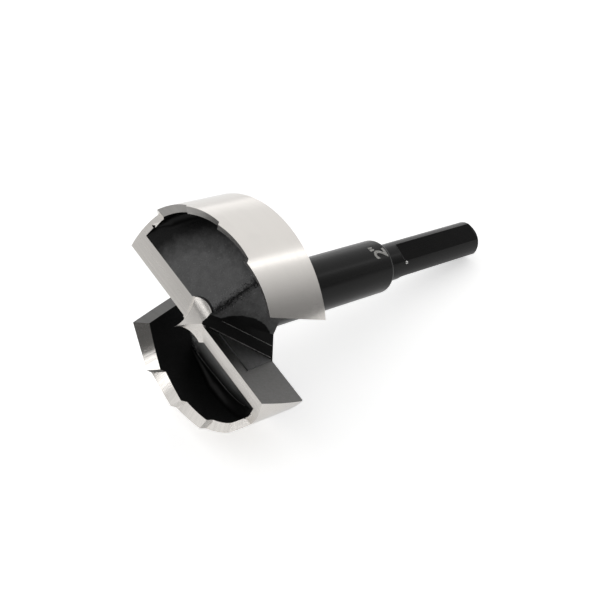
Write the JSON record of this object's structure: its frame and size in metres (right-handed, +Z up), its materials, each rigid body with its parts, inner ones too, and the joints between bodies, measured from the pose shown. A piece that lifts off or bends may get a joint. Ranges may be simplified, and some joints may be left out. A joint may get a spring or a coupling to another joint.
{
  "type": "forstner bit",
  "caption": "Forstner bit for wood: a round cutting head with a wave-ground rim, two blades with chip gullets and a centre point, on a collared shank with flats.",
  "frame": {"origin": "middle of the bounding box on the ground, with the bit lying on the back edge of its rim and its shank end", "axes": "+X runs from the shank towards the cutting head, +Z up"},
  "size_m": [0.0978, 0.0496, 0.053],
  "materials": {
    "tool_steel": "black oxide on the shank, collar and pockets; bright ground rim, lands, bevels and point"
  },
  "bodies": {
    "root": {"forstner_bit": "tool_steel"}
  },
  "joints": []
}
